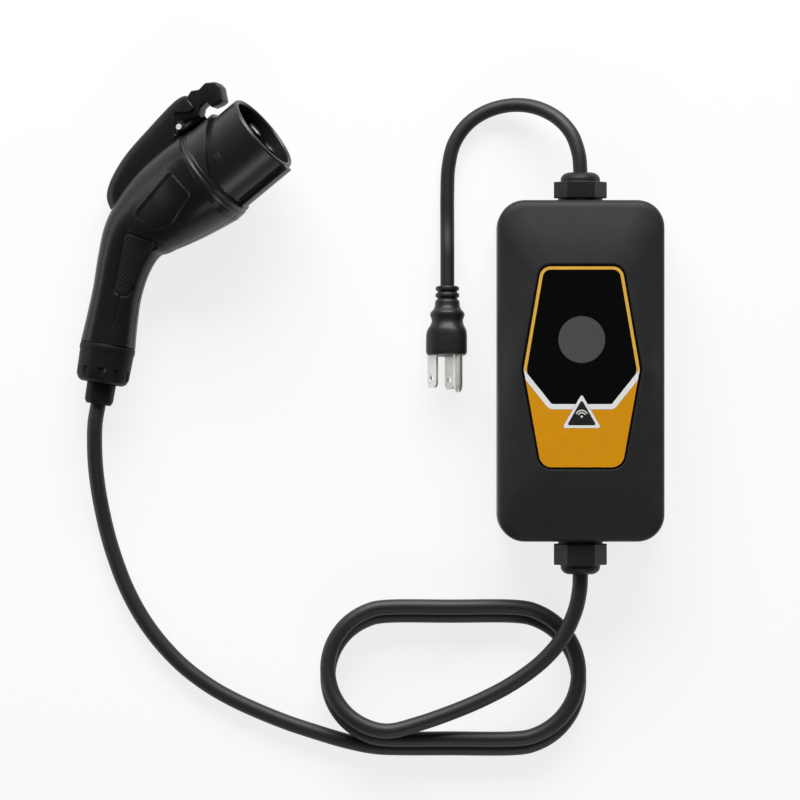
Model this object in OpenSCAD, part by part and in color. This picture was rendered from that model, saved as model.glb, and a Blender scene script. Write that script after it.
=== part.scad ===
// Portable charger: control box lying on its back, input lead with plug, coiled cable and vehicle connector.
// X right, Y along the box, Z up from the surface that everything lies on. Millimetres.

/* [Case] */
// width of the control box
case_w = 86; // [74:1:110]
// length of the control box
case_l = 176; // [160:1:220]
// height from back to front
case_h = 48; // [44:1:60]
// corner radius seen from the front
corner_r = 14; // [8:0.5:20]
// wall of both case halves
wall = 2.5; // [2:0.1:3.5]
// height of the rear cover
cover_h = 12; // [10:0.5:14]
// chamfer round the back
back_edge = 1.2; // [0.4:0.1:2]
// floor of the rear cover
floor_t = 3; // [2.5:0.1:4]
// height of the upright sides of the front shell
shoulder_h = 40; // [38:0.5:44]
// thickness of the front face under the panel
face_t = 3; // [2.5:0.1:4]

/* [Panel] */
// length of the six-sided panel
panel_l = 105; // [90:1:120]
// width of the panel at its side corners
panel_w = 61.6; // [52:0.2:66]
// width of the panel at its top, between its sharp corners
panel_top_w = 43; // [34:0.2:48]
// width of the panel at its bottom, between its sharp corners
panel_foot_w = 43.2; // [34:0.2:50]
// rounding of the panel's top corners
top_corner_r = 6.8; // [4:0.2:9]
// rounding of the panel's bottom corners
foot_corner_r = 7.5; // [4:0.2:10]
// thickness of the panel plate
panel_t = 1.2; // [0.8:0.1:1.6]
// thickness of the printed fields
print_t = 0.25; // [0.2:0.05:0.4]
// width of the amber frame line
frame_w = 1.6; // [1:0.1:3]
// black margin round the panel
margin = 1; // [0.6:0.1:2]
// drop of the chevron below the side corners
chevron_drop = 18; // [12:0.5:24]
// thickness of the chevron stripe
chevron_t = 2.7; // [2:0.1:5]
// rounding of the chevron's corners
chevron_r = 1.6; // [0.5:0.1:3]
// radius of the round indicator lens
lens_r = 12; // [9:0.5:14]
// distance of the lens above the panel's middle
lens_y = 16; // [12:0.5:20]
// half width of the tap badge
badge_w = 10; // [7:0.2:11]
// height of the tap badge
badge_h = 17.5; // [12:0.5:20]
// rounding of the badge's corners
badge_r = 0.8; // [0.4:0.1:1.5]
// white border of the tap badge
badge_rim = 1.4; // [1:0.1:2.5]

/* [Glands] */
// height of both glands above the back
gland_z = 25; // [23:0.5:27]
// thread radius
gland_r = 9.9; // [8.5:0.1:11]
// width of the nut across its flats
nut_af = 24; // [22:0.5:27]
// length of the six-sided part of the input nut
nut_l = 8.5; // [6:0.5:11]
// length of the six-sided part of the output nut
out_nut_l = 11; // [8:0.5:14]
// length of the nut's dome
dome_l = 4.8; // [3:0.1:7]
// radius of the dome at its foot
dome_r = 10.2; // [9.2:0.1:10.8]
// flange between nut and case
flange_t = 1.2; // [0.8:0.1:2]

/* [Cords] */
// diameter of the input lead
lead_d = 7.4; // [6:0.2:9]
// diameter of the charging cable
cable_d = 8; // [7:0.5:11]
// end radius of the coil at the middle of its turns
coil_r = 32; // [30:1:40]
// half length of the coil's straight sides
coil_s = 32; // [20:1:40]
// shift of the upper turn against the lower one
coil_shift = 5; // [0:0.5:6]

/* [Plug] */
// radius of the plug's body
plug_r = 11.5; // [11:0.1:14]
// length of the plug's body with its neck
plug_l = 36; // [30:1:45]
// width of a blade
blade_w = 6.4; // [6:0.1:6.6]
// thickness of a blade
blade_t = 1.5; // [1.2:0.1:1.8]
// distance between the blades
blade_gap = 12.7; // [12:0.1:13]
// distance from the blades to the earth pin
earth_off = 11.9; // [11:0.1:12.5]
// length of a blade
blade_l = 17; // [15:0.5:19]
// radius of the earth pin
earth_r = 2.4; // [2.2:0.05:2.6]
// length of the earth pin
earth_l = 20; // [18:0.5:23]

/* [Connector nose] */
// outside radius of the nose
nose_r = 21.9; // [20:0.1:24]
// wall of the nose
nose_wall = 2.6; // [2:0.1:4]
// length of the nose
nose_l = 37; // [30:0.5:42]
// outside radius of the collar
collar_r = 25.6; // [24.5:0.1:27]
// length of the collar
collar_l = 5.5; // [5:0.1:8]
// reach of the collar's tongue under the latch
tongue_l = 21.5; // [12:0.5:24]
// thickness of the tongue
tongue_t = 2.4; // [1.5:0.1:2.8]
// height below the middle where the tongue starts
tongue_from = 8; // [2:0.5:14]
// thickness of the flange behind the collar
back_t = 3.5; // [3:0.1:5]
// radius of a power contact's hole
power_r = 1.8; // [1.7:0.01:1.9]
// radius of the earth contact's hole
pe_r = 1.4; // [1.3:0.01:1.5]
// radius of a signal contact's hole
signal_r = 0.75; // [0.7:0.01:0.8]
// metal round a contact's hole
contact_wall = 1.1; // [0.6:0.05:1.4]
// plastic round a contact
tower_wall = 1.2; // [0.9:0.05:1.6]
// length of the contact towers
tower_l = 28.5; // [16:0.5:30]
// depth of a contact's hole
hole_l = 17; // [12:0.5:20]
// width of the guide rib under the nose
rib_w = 6; // [4:0.2:9]
// height of the guide rib
rib_h = 2.6; // [1.5:0.1:4]

/* [Connector handle] */
// wall of the handle shells
shell_t = 2.5; // [2:0.1:3]
// gap along the parting line
part_gap = 0.1; // [0.05:0.05:0.3]
// length of the end cap
cap_l = 20; // [16:0.5:26]
// radius of the end cap
cap_r = 14.1; // [13.8:0.1:16]
// length of the strain relief
relief_l = 11; // [8:0.5:24]
// number of scoops round the end cap
scoops = 10; // [6:1:14]
// nose up from the surface
nose_up = 14; // [8:0.5:18]
// roll of the connector towards its latch
roll = 17.5; // [8:0.5:18]
// direction of the nose in plan
aim = 39; // [30:1:50]
// height of the nose's middle above the surface
nose_z = 28; // [27:0.02:32]

/* [Latch] */
// width of the latch lever
lever_w = 12; // [11:0.5:13]
// width of the hook
hook_w = 9; // [6:0.5:10]
// radius of the latch pin
pin_r = 1.5; // [1.2:0.05:1.8]
// radial clearance of the lever on its pin
pin_clear = 0.05; // [0.02:0.01:0.09]
// width of the lug that carries the pin
lug_w = 5; // [4:0.2:6]
// side clearance of the lug in the lever
lug_clear = 0.3; // [0.2:0.05:0.6]
// wire radius of the latch spring
wire_r = 0.35; // [0.25:0.05:0.4]

/* [Screws] */
// radius of the case screws
screw_r = 1.5; // [1.2:0.1:1.8]
// radius of the screw heads
head_r = 2.8; // [2.5:0.1:3.2]
// height of the screw heads
head_h = 1.8; // [1.4:0.1:2.2]
// clearance round screws, pins in plastic and inserts
fit = 0.1; // [0.05:0.05:0.2]

/* [Inside] */
// thickness of the circuit board
board_t = 1.6; // [1.2:0.2:2]
// height of the board above the back
board_z = 13; // [12.5:0.5:14]
// gap between the board and the case wall
board_gap = 7; // [6:0.5:10]

/* [Hidden] */
$fn = 64;
eps = 0.02;
lead_r = lead_d / 2;
cable_r = cable_d / 2;
half_w = case_w / 2;
half_l = case_l / 2;
panel_mid = 2;
panel_top = panel_mid + panel_l / 2;
panel_foot = panel_mid - panel_l / 2;
side_y = 0.9;
// part of a corner's radius that its circle lies inside the sharp corner, for sides that lean 10 degrees
lean = 0.83;
screw_in = 8;
screw_xy = [for (sx = [-1, 1]) for (sy = [-1, 0, 1]) [sx * (half_w - screw_in), sy * (half_l - screw_in)]];
board_w = case_w - 2 * wall - 2 * board_gap;
board_l = case_l - 2 * wall - 2 * board_gap - 20;
board_xy = [for (sx = [-1, 1]) for (sy = [-1, 1]) [sx * (board_w / 2 - 5), sy * (board_l / 2 - 5)]];
board_top = board_z + board_t;
boss_top = board_z;
nut_y = half_l + flange_t;
gland_end = nut_y + nut_l + dome_l;
out_end = nut_y + out_nut_l + dome_l;
lug_x = collar_l / 2;
lug_z = collar_r + 4.9;
nose_in = nose_r - nose_wall;
nose_pos = [-191, 100.1, nose_z];
// stations of the handle's spine: X, Z, half height, half width
spine = [[-0.1, 0, 25.6, 25.4], [-13.5, 1.6, 24.8, 23.6], [-27.5, 3, 23.4, 19.5], [-40.5, 3, 20.6, 15.9],
    [-52, 1, 17.2, 13.9],
    [-63.5, -5.6, 14.2, 13], [-75.5, -15.4, 12.6, 12.4], [-86.5, -25.6, 13, 12.7], [-96.5, -35.3, 14, 13.7]];
spine_end = len(spine) - 1;
grip_way = spine[spine_end - 1] - spine[spine_end];
grip_dip = atan2(grip_way[1], grip_way[0]);
grip_pos = [spine[spine_end][0], 0, spine[spine_end][1]];
carrier_t = 4;
tower_top = carrier_t + tower_l;
power_yz = [[6.8, 6.8], [-6.8, 6.8]];
pe_yz = [[0, -10.6]];
signal_yz = [[10.4, -4.6], [-10.4, -4.6]];
relief_end = cap_l + relief_l;
handle_screw_xz = [[-22, -8, 17.2], [-56, -3, 12.3], [-82, -21.5, 12.2]];
spring_x = -37;
spring_z = 23.4;
spring_l = 6.4;

// General shapes
module rounded(w, l, r) {
    square([w - 2 * r, l], center = true);
    square([w, l - 2 * r], center = true);
    for (sx = [-1, 1])
        for (sy = [-1, 1])
            translate([sx * (w / 2 - r), sy * (l / 2 - r)]) circle(r);
}

// closed skin through a list of rings with the same number of points
module skin(rings) {
    n = len(rings[0]);
    m = len(rings);
    pts = [for (r = rings) for (p = r) p];
    sides = [for (i = [0 : m - 2]) for (j = [0 : n - 1]) for (t = [0, 1])
        t == 0 ? [i * n + j, i * n + (j + 1) % n, (i + 1) * n + j]
               : [i * n + (j + 1) % n, (i + 1) * n + (j + 1) % n, (i + 1) * n + j]];
    caps = [[for (j = [n - 1 : -1 : 0]) j], [for (j = [0 : n - 1]) (m - 1) * n + j]];
    polyhedron(points = pts, faces = concat(sides, caps), convexity = 10);
}

function unit(v) = v / norm(v);
function cut(v, lo, hi) = min(max(v, lo), hi);
// smooth curve through points
function spot(p, i) = p[cut(i, 0, len(p) - 1)];
function curve(p, t) = let (i = min(floor(t), len(p) - 2), f = t - i,
        a = spot(p, i - 1), b = spot(p, i), c = spot(p, i + 1), d = spot(p, i + 2))
    0.5 * ((2 * b) + (c - a) * f + (2 * a - 5 * b + 4 * c - d) * f * f + (3 * b - a - 3 * c + d) * f * f * f);

// round tube along a route
module tube(route, r, step, sides) {
    pts = [for (t = [0 : step : len(route) - 1]) curve(route, t)];
    m = len(pts);
    rings = [for (i = [0 : m - 1])
        let (d = unit(pts[min(i + 1, m - 1)] - pts[max(i - 1, 0)]), a = unit(cross(d, [0.11, 0.07, 1])), b = cross(a, d))
            [for (j = [0 : sides - 1]) pts[i] + r * (cos(360 * j / sides) * a + sin(360 * j / sides) * b)]];
    skin(rings);
}

// Case
module hexa(in) {
    offset(delta = -in)
        hull() {
            for (s = [-1, 1]) {
                translate([s * (panel_top_w / 2 - lean * top_corner_r), panel_top - top_corner_r]) circle(top_corner_r);
                translate([s * (panel_w / 2 - 0.6), side_y]) circle(0.6);
                translate([s * (panel_foot_w / 2 - lean * foot_corner_r), panel_foot + foot_corner_r])
                    circle(foot_corner_r);
            }
        }
}

module hood(in, top) {
    hull() {
        translate([0, 0, cover_h - in]) linear_extrude(shoulder_h - 4 - cover_h)
            rounded(case_w - 2 * in, case_l - 2 * in, corner_r - in);
        translate([0, 0, shoulder_h - 4 - in]) linear_extrude(4)
            rounded(case_w - 2 * in - 3, case_l - 2 * in - 3, corner_r - in - 1);
        translate([0, 0, top - 1]) linear_extrude(1) hexa(in - 1.2);
    }
}

module gland_axis(s) {
    translate([0, 0, gland_z]) rotate([-s * 90, 0, 0]) children();
}

module front_shell() color([0.14, 0.14, 0.15]) {
    difference() {
        hood(0, case_h);
        difference() {
            hood(wall, case_h - panel_t - face_t);
            for (p = screw_xy)
                translate([p[0], p[1], cover_h - wall - 1]) cylinder(r = screw_r + 2.6, h = case_h);
        }
        translate([0, 0, cover_h - 2 * wall]) linear_extrude(2 * wall) square([case_w * 2, case_l * 2], center = true);
        translate([0, 0, case_h - panel_t]) linear_extrude(panel_t + 1) hexa(-fit);
        translate([0, lens_y, case_h - 12]) cylinder(r = lens_r - 2.5, h = 12);
        for (p = screw_xy)
            translate([p[0], p[1], cover_h - 1]) cylinder(r = screw_r + fit / 2, h = 12);
        for (s = [-1, 1])
            gland_axis(s) {
                cylinder(r = gland_r + fit, h = half_l + 1);
                translate([0, 0, half_l - wall - 7]) cylinder(r = nut_af / 2 / cos(30) + 0.3, h = 7);
            }
    }
}

module rear_cover() color([0.13, 0.13, 0.14]) {
    difference() {
        union() {
            difference() {
                hull() {
                    linear_extrude(eps) rounded(case_w - 2 * back_edge, case_l - 2 * back_edge, corner_r - back_edge);
                    translate([0, 0, back_edge]) linear_extrude(cover_h - back_edge) rounded(case_w, case_l, corner_r);
                }
                translate([0, 0, floor_t]) linear_extrude(cover_h)
                    rounded(case_w - 2 * wall, case_l - 2 * wall, corner_r - wall);
            }
            for (p = screw_xy)
                translate([p[0], p[1], 1]) cylinder(r = head_r + 2, h = cover_h - 1);
            for (p = board_xy)
                translate([p[0], p[1], 1]) cylinder(r = screw_r + 2, h = boss_top - 1);
        }
        translate([0, 0, cover_h - 1]) linear_extrude(2) seal_ring(0);
        for (p = screw_xy) {
            translate([p[0], p[1], -1]) cylinder(r = screw_r + 2 * fit, h = cover_h + 2);
            translate([p[0], p[1], -1]) cylinder(r = head_r + 2 * fit, h = head_h + 2.2);
        }
        for (p = board_xy)
            translate([p[0], p[1], boss_top - 9]) cylinder(r = screw_r + fit / 2, h = 10);
    }
}

module seal_ring(in) {
    difference() {
        rounded(case_w - 1.4 - 2 * in, case_l - 1.4 - 2 * in, corner_r - 0.7 - in);
        rounded(case_w - 2 * wall + 1.4 + 2 * in, case_l - 2 * wall + 1.4 + 2 * in, corner_r - wall + 0.7 + in);
    }
}

module case_seal() color([0.32, 0.33, 0.34])
    translate([0, 0, cover_h - 1]) linear_extrude(1) seal_ring(0.05);

module screw(l) {
    cylinder(r = screw_r, h = l);
    difference() {
        translate([0, 0, -head_h]) cylinder(r = head_r, h = head_h);
        for (a = [0, 90])
            rotate(a) translate([-head_r * 0.6, -0.35, -head_h - 1]) cube([head_r * 1.2, 0.7, 1.9]);
    }
}

module cover_screws() color([0.55, 0.56, 0.58])
    for (p = screw_xy)
        translate([p[0], p[1], head_h + 1.2]) screw(18);

module face_panel() color([0.03, 0.03, 0.03])
    translate([0, 0, case_h - panel_t]) linear_extrude(panel_t)
        difference() {
            hexa(0);
            translate([0, lens_y]) circle(lens_r + fit);
        }

module print_layer() {
    translate([0, 0, case_h]) linear_extrude(print_t) children();
}

// what lies below the chevron's upper edge, moved down by d
module below_chevron(d) {
    x = panel_w / 2 - margin;
    f = x - chevron_drop * 0.8;
    offset(r = -chevron_r - d) offset(delta = chevron_r)
        polygon([[-f, side_y - chevron_drop], [f, side_y - chevron_drop], [x + 8, side_y + 10], [x + 8, -case_l],
            [-x - 8, -case_l], [-x - 8, side_y + 10]]);
}

module badge_shape(in) {
    y0 = side_y - chevron_drop + 5.2;
    offset(r = badge_r) offset(delta = -badge_r - in)
        polygon([[0, y0], [badge_w, y0 - badge_h], [-badge_w, y0 - badge_h]]);
}

module panel_frame() color([0.84, 0.6, 0.16])
    print_layer() difference() {
        hexa(margin);
        hexa(margin + frame_w);
        below_chevron(-0.1);
    }

module panel_field() color([0.78, 0.54, 0.07])
    print_layer() difference() {
        intersection() {
            hexa(margin);
            below_chevron(chevron_t + 0.1);
        }
        badge_shape(-0.1);
    }

module chevron_stripe() color([0.82, 0.83, 0.83])
    print_layer() difference() {
        intersection() {
            hexa(margin);
            below_chevron(0);
        }
        below_chevron(chevron_t);
        badge_shape(-0.1);
    }

module tap_badge() color([0.92, 0.92, 0.92])
    print_layer() difference() {
        badge_shape(0);
        badge_shape(badge_rim);
    }

module tap_badge_face() color([0.1, 0.11, 0.16])
    print_layer() badge_shape(badge_rim + 0.05);

module indicator_lens() color([0.3, 0.3, 0.3])
    translate([0, lens_y, case_h - panel_t]) cylinder(r = lens_r, h = panel_t + 0.2);

module led_ring() color([0.1, 0.3, 0.16])
    translate([0, lens_y, case_h - panel_t - face_t - 1.6]) difference() {
        cylinder(r = lens_r + 2, h = 1.6);
        translate([0, 0, -1]) cylinder(r = lens_r - 6, h = 4);
    }

module circuit_board() color([0.07, 0.3, 0.16])
    difference() {
        translate([-board_w / 2, -board_l / 2, board_z]) cube([board_w, board_l, board_t]);
        for (p = board_xy)
            translate([p[0], p[1], board_z - 1]) cylinder(r = screw_r + fit, h = board_t + 2);
        for (p = screw_xy)
            translate([p[0], p[1], board_z - 1]) cylinder(r = screw_r + 3.4, h = board_t + 2);
    }

module board_screws() color([0.6, 0.6, 0.6])
    for (p = board_xy)
        translate([p[0], p[1], board_top]) mirror([0, 0, 1]) screw(9);

module relays() color([0.1, 0.1, 0.12])
    for (y = [-22, 8])
        translate([-board_w / 2 + 9, y, board_top]) cube([16, 22, 15]);

module current_sensor() color([0.05, 0.05, 0.05])
    translate([12, -22, board_top]) difference() {
        cylinder(r = 11, h = 9);
        translate([0, 0, -1]) cylinder(r = 5, h = 11);
    }

module power_module() color([0.85, 0.85, 0.8])
    translate([3, 6, board_top]) cube([18, 26, 14]);

module terminal_blocks() color([0.1, 0.35, 0.2])
    for (s = [-1, 1])
        translate([0, s * (board_l / 2 - 16), board_top]) difference() {
            translate([-15, -5, 0]) cube([30, 10, 12]);
            for (x = [-10, 0, 10])
                translate([x, 0, 4]) cylinder(r = 2, h = 10);
        }

// Glands
module gland_body(cr) {
    difference() {
        union() {
            translate([0, 0, half_l - 14]) cylinder(r = gland_r, h = 14 + eps);
            translate([0, 0, half_l + eps]) cylinder(r = gland_r + 1.6, h = flange_t - eps);
            translate([0, 0, half_l]) cylinder(r = gland_r - 1.6, h = flange_t + 4);
        }
        translate([0, 0, half_l - 15]) cylinder(r = cr + 1, h = 40);
    }
}

module gland_nut(cr, nl) {
    difference() {
        union() {
            translate([0, 0, nut_y]) cylinder(r = nut_af / 2 / cos(30), h = nl, $fn = 6);
            translate([0, 0, nut_y + nl]) rotate_extrude() polygon([[0, 0], [dome_r, 0], [dome_r, dome_l * 0.35],
                [dome_r - 0.7, dome_l * 0.65], [dome_r - 2, dome_l * 0.88], [dome_r - 3.6, dome_l], [0, dome_l]]);
        }
        translate([0, 0, nut_y - 1]) cylinder(r = gland_r - 1.6 + fit, h = nl + 2);
        translate([0, 0, nut_y - 1]) cylinder(r = cr + 0.3, h = 40);
    }
}

module gland_seal(cr, nl) {
    translate([0, 0, nut_y + 4]) difference() {
        cylinder(r = gland_r - 1.6, h = nl - 3);
        translate([0, 0, -1]) cylinder(r = cr + fit, h = nl);
    }
}

module gland_locknut() {
    translate([0, 0, half_l - wall - 4.5]) difference() {
        cylinder(r = nut_af / 2 / cos(30), h = 4.5, $fn = 6);
        translate([0, 0, -1]) cylinder(r = gland_r + fit, h = 7);
    }
}

module input_gland_body() color([0.16, 0.16, 0.16]) gland_axis(1) gland_body(lead_r);
module input_gland_nut() color([0.14, 0.14, 0.14]) gland_axis(1) gland_nut(lead_r, nut_l);
module input_gland_seal() color([0.2, 0.2, 0.2]) gland_axis(1) gland_seal(lead_r, nut_l);
module input_gland_locknut() color([0.2, 0.2, 0.2]) gland_axis(1) gland_locknut();
module output_gland_body() color([0.16, 0.16, 0.16]) gland_axis(-1) gland_body(cable_r);
module output_gland_nut() color([0.14, 0.14, 0.14]) gland_axis(-1) gland_nut(cable_r, out_nut_l);
module output_gland_seal() color([0.2, 0.2, 0.2]) gland_axis(-1) gland_seal(cable_r, out_nut_l);
module output_gland_locknut() color([0.2, 0.2, 0.2]) gland_axis(-1) gland_locknut();

// Cords
function turn_z(a, p) = [p[0] * cos(a) - p[1] * sin(a), p[0] * sin(a) + p[1] * cos(a), p[2]];
function turn_y(a, p) = [p[0] * cos(a) + p[2] * sin(a), p[1], p[2] * cos(a) - p[0] * sin(a)];
function turn_x(a, p) = [p[0], p[1] * cos(a) - p[2] * sin(a), p[1] * sin(a) + p[2] * cos(a)];
// a point of the handle, and one along its grip, in the part's frame
function at_handle(p) = nose_pos + turn_z(aim, turn_y(-nose_up, turn_x(-90 - roll, p)));
function at_grip(s) = at_handle(grip_pos + s * [-cos(grip_dip), 0, -sin(grip_dip)]);

plug_pos = [-68.6, 44, 9.3];
plug_tilt = 5;
plug_roll = -45;
function at_plug(s) = plug_pos + s * [0, -cos(plug_tilt), sin(plug_tilt)];
coil_pos = [-66.7, -164];
lead_route = [[0, half_l - 16, gland_z], [0, half_l, gland_z], [0, gland_end, gland_z], [-1, 113, 24], [-5, 123.5, 21.5],
    [-13, 132, 17], [-24, 137.2, 11.5], [-36, 138.2, 7.3], [-48, 135.2, 4.8], [-58, 128.6, 3.8], [-65, 118.5, 3.8],
    [-68, 106, 3.8], [-68.6, 92, 3.8], [-68.6, 77, 4.3], at_plug(-19), at_plug(-9), at_plug(0), at_plug(9)];
box_route = [[0, 16 - half_l, gland_z], [0, -half_l, gland_z], [0, -out_end, gland_z], [-0.5, -114, 24.8], [-3, -125, 24],
    [-9.5, -138.5, 23], [-20.5, -151, 21.8], [-35.5, -162, 20.2], [-51.5, -170.5, 18.8], [-67, -177, 17.6],
    [-83, -182.5, 16], [-98, -186, 13.5]];
handle_route = [[-92, -196, 4.05], [-107, -195.3, 4.05], [-122, -192.2, 4.05], [-137.5, -187.6, 4.05], [-152, -182.8, 4.05],
    [-167, -176.8, 4.05], [-180, -170.8, 4.05], [-192, -164, 4.05], [-204.5, -154.8, 4.05], [-214.5, -145, 4.05],
    [-223, -134.6, 4.05], [-230.3, -123.2, 4.05], [-236.5, -110.7, 4.05], [-241.3, -98, 4.05], [-245, -86, 4.2],
    [-247.8, -74, 5.3], [-249.9, -62, 7.8], [-251.2, -50, 11.3], [-251.6, -38.5, 14.5], at_grip(relief_end + 10),
    at_grip(relief_end), at_grip(cap_l), at_grip(4), at_grip(-10.5)];

module input_lead() color([0.06, 0.06, 0.06]) tube(lead_route, lead_r, 0.5, 10);
module cable_to_box() color([0.06, 0.06, 0.06]) tube(box_route, cable_r, 0.5, 10);
module cable_to_handle() color([0.06, 0.06, 0.06]) tube(handle_route, cable_r, 0.5, 10);

module stadium(s, r) {
    square([2 * s, 2 * r], center = true);
    for (k = [-1, 1])
        translate([k * s, 0]) circle(r);
}

module cable_coil() color([0.06, 0.06, 0.06])
    translate([coil_pos[0], coil_pos[1] + coil_shift / 2, 0.05]) linear_extrude(2 * cable_d) difference() {
        stadium(coil_s, coil_r + cable_r + coil_shift / 2);
        stadium(coil_s, coil_r - cable_r - coil_shift / 2);
    }

// Plug
module place_plug() {
    translate(plug_pos) rotate([90 - plug_tilt, 0, 0]) rotate([0, 0, plug_roll]) children();
}

module plug_body() color([0.09, 0.09, 0.09])
    place_plug() difference() {
        rotate_extrude() polygon([[0, 0], [5.2, 0], [5.6, 1], [5.6, 2.2], [4.9, 2.4], [4.9, 3.8], [5.9, 4], [5.9, 5.8],
            [5.1, 6], [5.1, 7.4], [6.2, 7.6], [6.2, 10.5], [7.4, 12.5], [8.9, 14], [8.9, 15.6], [8.1, 17], [8.1, 19],
            [plug_r - 1, 22.5], [plug_r, 25], [plug_r, plug_l - 1], [plug_r - 1, plug_l], [0, plug_l]]);
        translate([0, 0, -1]) cylinder(r = lead_r + fit, h = 11);
        prongs(fit / 2);
    }

module prongs(c) {
    plug_blades_at() translate([-blade_t / 2 - c, -blade_w / 2 - c, -8 - c]) cube([blade_t + 2 * c, blade_w + 2 * c, 9]);
    translate([0, earth_off * 0.64, plug_l - 8 - c]) cylinder(r = earth_r + c, h = 9);
}

module plug_blades_at() {
    for (k = [-1, 1])
        translate([k * blade_gap / 2, -earth_off * 0.36, plug_l]) children();
}

module plug_blades() color([0.78, 0.78, 0.8])
    place_plug() plug_blades_at() difference() {
        rotate([90, 0, 90]) translate([0, 0, -blade_t / 2]) linear_extrude(blade_t) polygon([[-blade_w / 2, -8],
            [blade_w / 2, -8], [blade_w / 2, blade_l - 2], [blade_w / 2 - 1.2, blade_l], [1.2 - blade_w / 2, blade_l],
            [-blade_w / 2, blade_l - 2]]);
        translate([-blade_t, 0, blade_l - 5]) rotate([0, 90, 0]) cylinder(r = 1.5, h = 2 * blade_t);
    }

module plug_earth_pin() color([0.78, 0.78, 0.8])
    place_plug() translate([0, earth_off * 0.64, plug_l - 8]) rotate_extrude() polygon([[0, 0], [earth_r, 0],
        [earth_r, earth_l + 4], [earth_r * 0.9, earth_l + 6], [earth_r * 0.55, earth_l + 7.5], [0, earth_l + 8]]);

// Connector, in its own frame: X out of the nose, Z towards the latch, Y to the left
module place_handle() {
    translate(nose_pos) rotate([0, 0, aim]) rotate([0, -nose_up, 0]) rotate([-90 - roll, 0, 0]) children();
}

module along_nose() {
    rotate([0, 90, 0]) children();
}

module along_grip() {
    translate(grip_pos) rotate([0, -90 - grip_dip, 0]) children();
}

spine_step = 1 / 3;
spine_t = [for (t = [0 : spine_step : len(spine) - 1 + 0.01]) min(t, len(spine) - 1)];
arc_n = 14;
// grip pads: gap to the facets of the shell, and thickness
pad_gap = 0.12;
pad_t = 0.28;
function flow(t) = let (d = curve(spine, min(t + 0.05, spine_end)) - curve(spine, max(t - 0.05, 0)))
    unit([d[0], d[1]]);
function pow_s(v, e) = sign(v) * pow(abs(v), e);
// point of the handle's skin at station t and angle a, moved in by d, on side s
function skin_pt(t, a, d, s, g) = let (c = curve(spine, t),
        f = t < 0.01 ? [-1, 0] : t > spine_end - 0.01 ? unit([-grip_way[0], -grip_way[1]]) : flow(t),
        y = g + (c[3] - d - g) * pow_s(cos(a), 0.88), n = (c[2] - d) * pow_s(sin(a), 0.88))
    [c[0] + f[1] * n, s * y, c[1] - f[0] * n];

module half_shell(s) {
    g = part_gap / 2;
    n = arc_n + 1;
    rings = [for (t = spine_t) concat(
        [for (j = [0 : arc_n]) skin_pt(t, -90 + 180 * j / arc_n, 0, s, g)],
        [for (j = [0 : arc_n]) skin_pt(t, 90 - 180 * j / arc_n, shell_t, s, g)])];
    m = len(rings);
    pts = [for (r = rings) for (p = r) p];
    k = 2 * n;
    wrap = [for (i = [0 : m - 2]) for (j = [0 : k - 1]) for (q = [0, 1])
        q == 0 ? [i * k + j, (i + 1) * k + j, i * k + (j + 1) % k]
               : [i * k + (j + 1) % k, (i + 1) * k + j, (i + 1) * k + (j + 1) % k]];
    ends = [for (i = [0, m - 1]) for (j = [0 : arc_n - 1]) let (a = i * k + j, b = i * k + k - 1 - j)
        i == 0 ? [a, a + 1, b - 1, b] : [b, b - 1, a + 1, a]];
    faces = concat(wrap, ends);
    turned = [for (f = faces) [for (j = [len(f) - 1 : -1 : 0]) f[j]]];
    polyhedron(points = pts, faces = s < 0 ? faces : turned, convexity = 10);
}

module handle_bores(left) {
    for (p = handle_screw_xz)
        translate([p[0], 0, p[1]]) rotate([-90, 0, 0]) {
            translate([0, 0, -9]) cylinder(r = screw_r + fit / 2, h = 18);
            translate([0, 0, 6]) cylinder(r = head_r + fit, h = 30);
        }
    translate([spring_x, 0, spring_z]) cylinder(r = 3.1, h = 10);
}

module handle_bosses(s) {
    for (p = handle_screw_xz)
        translate([p[0], s * part_gap / 2, p[1]]) rotate([-s * 90, 0, 0]) cylinder(r = head_r + 1.6, h = p[2]);
}

module handle_shell_left() color([0.1, 0.1, 0.1])
    place_handle() difference() {
        union() {
            half_shell(1);
            handle_bosses(1);
        }
        handle_bores(true);
    }

module handle_shell_right() color([0.1, 0.1, 0.1])
    place_handle() difference() {
        union() {
            half_shell(-1);
            handle_bosses(-1);
        }
        handle_bores(false);
    }

module handle_screws() color([0.5, 0.5, 0.52])
    place_handle() for (p = handle_screw_xz)
        translate([p[0], 6 + eps, p[1]]) rotate([90, 0, 0]) screw(14);

// textured pads on both flanks of the grip, laid on the shell's skin
module grip_pad(s) {
    ts = [for (t = spine_t) if (t > 4.2 && t < 6.5) t];
    rings = [for (t = ts) concat(
        [for (j = [5 : 9]) skin_pt(t, -90 + 180 * j / arc_n, -pad_gap - pad_t, s, part_gap / 2)],
        [for (j = [9 : -1 : 5]) skin_pt(t, -90 + 180 * j / arc_n, -pad_gap, s, part_gap / 2)])];
    if (s > 0) skin(rings);
    else skin([for (r = rings) [for (j = [len(r) - 1 : -1 : 0]) r[j]]]);
}

module grip_pad_left() color([0.16, 0.16, 0.16]) place_handle() grip_pad(1);
module grip_pad_right() color([0.16, 0.16, 0.16]) place_handle() grip_pad(-1);

module nose_barrel() color([0.1, 0.1, 0.1])
    place_handle() {
        along_nose() rotate_extrude() polygon([[16, -back_t], [nose_r + 0.3, -back_t], [nose_r + 0.3, 0], [nose_r, 0],
            [nose_r, nose_l - 0.9], [nose_r - 0.7, nose_l], [nose_in + 0.6, nose_l], [nose_in, nose_l - 0.8], [nose_in, 0],
            [16, 0]]);
        intersection() {
            translate([collar_l + 0.3, -rib_w / 2, -nose_r - rib_h]) cube([nose_l - collar_l - 0.6, rib_w, rib_h + 1.2]);
            along_nose() cylinder(r = nose_r + rib_h, h = nose_l);
        }
    }

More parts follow.
